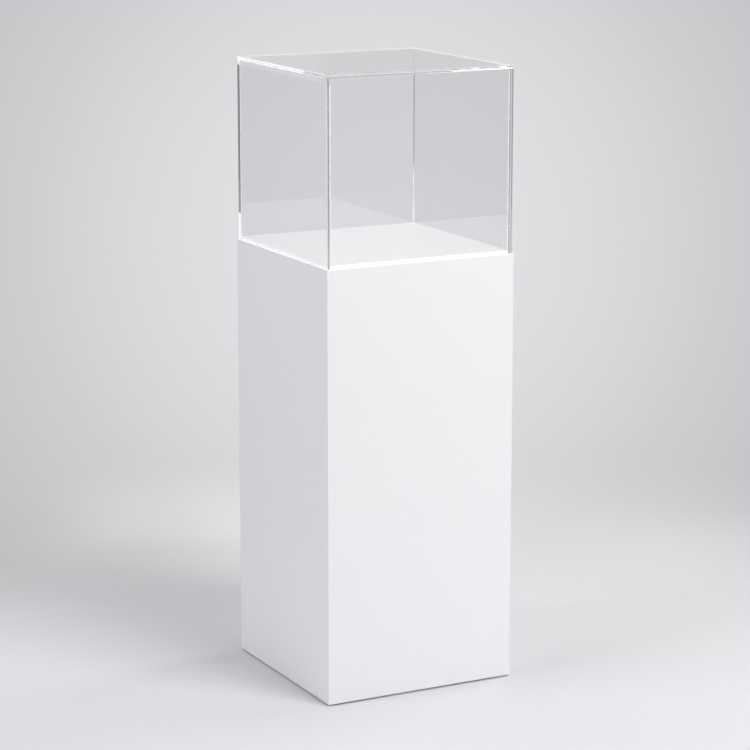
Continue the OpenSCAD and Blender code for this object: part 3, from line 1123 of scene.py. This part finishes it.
def studio_world(settings, heading):
    """Backdrop with a soft bright middle for what is seen, and an even soft light for what is lit."""
    world = bpy.data.worlds.new("studio")
    tree = ShaderTree(world)
    x, y, z = tree.split(tree.add("ShaderNodeTexCoord", output="Generated"))
    down = z * -1
    ahead = x * math.sin(heading) + y * math.cos(heading)
    aside = x * math.cos(heading) - y * math.sin(heading)
    lift = settings.middle_lift
    near = ahead * math.cos(lift) + z * math.sin(lift)

    # A bright window in front of the case on its right, which one edge of the cover shows.
    bearing = x / (x * x + y * y) ** 0.5
    window = (y * -1).rise(*WINDOW_FRONT) * (1 - bearing.rise(*WINDOW_RIGHT))
    window = window * x.rise(*WINDOW_LEFT) * (z / x.most(0.1)).rise(*WINDOW_SILL)

    # A lighter sweep low down, from the middle to the right in two steps, and a patch left of it.
    sweep = down.rise(*SWEEP_DOWN) * aside.rise(*SWEEP_ASIDE)
    sweep = sweep + down.rise(*FAR_SWEEP_DOWN) * aside.rise(*FAR_SWEEP_ASIDE)
    patch = down.rise(*PATCH_TOP) * (1 - down.rise(*PATCH_FOOT)) * aside.rise(*PATCH_LEFT)
    sweep = sweep + patch * (1 - aside.rise(*PATCH_RIGHT)) * PATCH_TONE

    # A bright strip on each side above the horizon, which the cover's edges show.
    strip = z.rise(*STRIP_FOOT) * (1 - z.rise(*STRIP_TOP)) * ahead.rise(*STRIP_NEAR)
    strip = strip * (1 - ahead.rise(*STRIP_FAR)) * STRIP_TONE

    low = [toned(tree, near, LOW_STOPS), sweep]
    low_tone = tree.add("ShaderNodeVectorMath", low, operation="ADD")
    high = [toned(tree, ahead, HIGH_STOPS), strip]
    high_tone = tree.add("ShaderNodeVectorMath", high, operation="ADD")
    tone = tree.tint(z.rise(*HORIZON).most(window), low_tone, high_tone)
    seen = tree.add("ShaderNodeBackground", [tree.stretched(tone, settings.backdrop), 1.0])
    soft = tree.add("ShaderNodeBackground", [WHITE, settings.ambient])
    looked_at = tree.ray("Is Camera Ray").most(tree.ray("Is Glossy Ray"))
    looked_at = looked_at.most(tree.ray("Is Transmission Ray"))
    tree.close("Surface", tree.mixed(looked_at, soft, seen))
    bpy.context.scene.world = world


# Of each softbox: turn from the front (-Y) towards +X, height angle, distance, width and height,
# power and colour.
SOFTBOXES = {
    "key_lamp": (20, 34, 3.9, (1.9, 3.5), 128.5, (1.0, 1.0, 0.99)),
    "left_lamp": (-90, 23, 3.0, (1.6, 1.6), 42.5, (0.99, 0.95, 1.0)),
    "right_lamp": (95, 30, 3.2, (1.6, 1.6), 34, (0.99, 1.0, 0.97)),
    "back_lamp": (200, 70, 2.4, (1.8, 1.8), 26, (0.98, 1.0, 0.97)),
    "top_lamp": (80, 70, 2.4, (1.8, 1.8), 11.5, (1.0, 0.97, 1.0)),
}
LIT_POINT = Vector((0, 0, 0.6))
BOUNCES = 200  # light turns back many times inside the welded sheets before it comes out


def softbox(name, turn, lift, distance, size, power, colour):
    """Rectangular lamp that faces the lit point."""
    lamp = bpy.data.lights.new(name, "AREA")
    lamp.shape = "RECTANGLE"
    lamp.size, lamp.size_y = size
    lamp.energy = power
    lamp.color = colour
    turn, lift = math.radians(turn), math.radians(lift)
    away = Vector((math.sin(turn) * math.cos(lift), -math.cos(turn) * math.cos(lift), math.sin(lift)))
    holder = bpy.data.objects.new(name, lamp)
    holder.location = LIT_POINT + distance * away
    holder.rotation_euler = away.to_track_quat("Z", "Y").to_euler()
    holder.visible_camera = False
    holder.visible_transmission = False
    bpy.context.scene.collection.objects.link(holder)


class CASE_OT_studio(bpy.types.Operator):
    """Set the floor, the backdrop and the lamps"""

    bl_idname = "case.studio"
    bl_label = "Studio"

    def execute(self, context):
        settings = context.scene.case_studio
        heading = context.scene.case_camera.heading
        centre = -settings.pool_shift * Vector((math.sin(heading), math.cos(heading), 0))
        made = bmesh.new()
        radius = 1.02 * settings.pool_edge
        bmesh.ops.create_circle(made, cap_ends=True, segments=96, radius=radius)
        bmesh.ops.translate(made, verts=made.verts, vec=centre)
        mesh = bpy.data.meshes.new("studio_floor")
        made.to_mesh(mesh)
        made.free()
        floor = bpy.data.objects.new("studio_floor", mesh)
        mesh.materials.append(studio_floor(settings, centre))
        context.scene.collection.objects.link(floor)
        studio_world(settings, heading)
        for name, values in SOFTBOXES.items():
            softbox(name, *values)
        context.scene.view_settings.view_transform = "Standard"
        for kind in ("max_bounces", "glossy_bounces", "transmission_bounces"):
            setattr(context.scene.cycles, kind, BOUNCES)
        return {"FINISHED"}


class CASE_OT_camera(bpy.types.Operator):
    """Set the camera"""

    bl_idname = "case.camera"
    bl_label = "Camera"

    def execute(self, context):
        settings = context.scene.case_camera
        camera = bpy.data.objects.new("case_camera", bpy.data.cameras.new("case_camera"))
        camera.data.lens = settings.lens
        camera.data.sensor_width = settings.sensor
        camera.data.clip_end = 100
        camera.location = settings.place
        camera.rotation_euler = Euler((math.pi / 2 - settings.tilt, 0, -settings.heading))
        context.scene.collection.objects.link(camera)
        context.scene.camera = camera
        return {"FINISHED"}


OPERATORS = (
    CASE_OT_side_panels,
    CASE_OT_deck,
    CASE_OT_cover,
    CASE_OT_timber_frame,
    CASE_OT_levelling_feet,
    CASE_OT_screws,
    CASE_OT_studio,
    CASE_OT_camera,
)


class CASE_PT_panel(bpy.types.Panel):
    """Lists what the display case is made of"""

    bl_idname = "CASE_PT_panel"
    bl_label = "Display Case"
    bl_space_type = "VIEW_3D"
    bl_region_type = "UI"
    bl_category = "Display Case"

    def draw(self, context):
        for operator in OPERATORS:
            self.layout.operator(operator.bl_idname)
        for name, group in SETTINGS.items():
            box = self.layout.box()
            box.label(text=group.__name__)
            for prop in group.__annotations__:
                box.prop(getattr(context.scene, name), prop)


def register():
    for group in SETTINGS.values():
        bpy.utils.register_class(group)
    for name, group in SETTINGS.items():
        setattr(bpy.types.Scene, name, PointerProperty(type=group))
    for operator in OPERATORS:
        bpy.utils.register_class(operator)
    bpy.utils.register_class(CASE_PT_panel)


def unregister():
    bpy.utils.unregister_class(CASE_PT_panel)
    for operator in reversed(OPERATORS):
        bpy.utils.unregister_class(operator)
    for name, group in SETTINGS.items():
        delattr(bpy.types.Scene, name)
        bpy.utils.unregister_class(group)


def main():
    register()
    bpy.ops.case.camera()
    bpy.ops.case.side_panels()
    bpy.ops.case.deck()
    bpy.ops.case.cover()
    bpy.ops.case.timber_frame()
    bpy.ops.case.levelling_feet()
    bpy.ops.case.screws()
    bpy.ops.case.studio()


if __name__ == "__main__":
    main()
